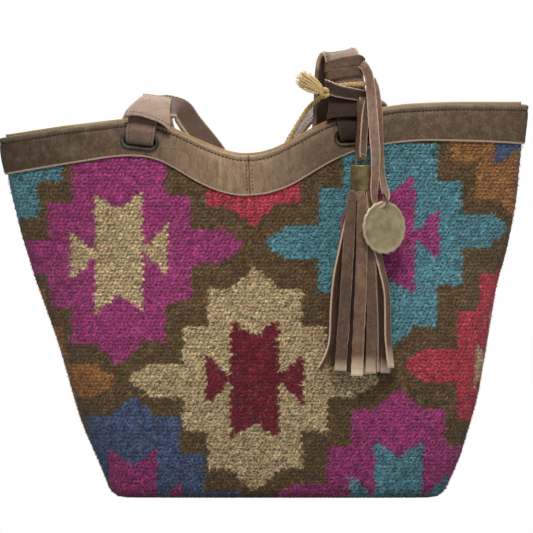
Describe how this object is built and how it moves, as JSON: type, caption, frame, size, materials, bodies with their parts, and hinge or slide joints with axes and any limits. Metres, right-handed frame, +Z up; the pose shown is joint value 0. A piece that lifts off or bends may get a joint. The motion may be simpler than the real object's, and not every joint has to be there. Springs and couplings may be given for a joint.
{
  "type": "tote bag",
  "caption": "Wool kilim tote bag with a boxed base, a leather band round the mouth, two soft strap handles on oval eyelets, and a leather tassel and medallion",
  "frame": {"origin": "middle of the bag's width and depth, at the underside of the base", "axes": "+Z up, the front with the tassel looks along -Y, +X to the right as seen from the front"},
  "size_m": [0.4987, 0.1668, 0.424],
  "materials": {
    "kilim_wool": "weft-faced wool weave",
    "lining_cotton": "plain cotton",
    "band_leather": "soft grained",
    "handle_leather": "soft grained",
    "lace_leather": "suede edges",
    "eyelet_metal": "dark, aged",
    "aged_brass": "aged",
    "braid_jute": "braided jute"
  },
  "bodies": {
    "bag": {"backing_plate_back_left": "aged_brass", "backing_plate_back_right": "aged_brass", "backing_plate_front_left": "aged_brass", "backing_plate_front_right": "aged_brass", "band_left": "band_leather", "band_right": "band_leather", "braid_cord": "braid_jute", "cord_knot_brush": "braid_jute", "eyelet_back_left": "eyelet_metal", "eyelet_back_right": "aged_brass", "eyelet_front_left": "eyelet_metal", "eyelet_front_right": "aged_brass", "handle_back": "handle_leather", "handle_front": "handle_leather", "handle_tab_back_left": "handle_leather", "handle_tab_back_right": "handle_leather", "handle_tab_front_left": "handle_leather", "handle_tab_front_right": "handle_leather", "kilim_back": "kilim_wool", "kilim_front": "kilim_wool", "lining": "lining_cotton", "medallion_lace": "lace_leather", "wrap_lace": "lace_leather"},
    "tassel": {"tassel_lace": "lace_leather", "tassel_bail": "aged_brass", "tassel_cap": "aged_brass", "tassel_fringe": "lace_leather"},
    "charm": {"medallion_ring": "aged_brass", "medallion": "aged_brass"}
  },
  "joints": [
    {"name": "tassel_swing", "type": "hinge", "parent": "bag", "child": "tassel", "pos_m": [0.0935, -0.0357, 0.3755], "axis": [0, 1, 0], "range_deg": [0, 35]},
    {"name": "medallion_swing", "type": "hinge", "parent": "bag", "child": "charm", "pos_m": [0.113, -0.0705, 0.2813], "axis": [-0.8191, -0.5736, 0], "range_deg": [0, 60]}
  ]
}
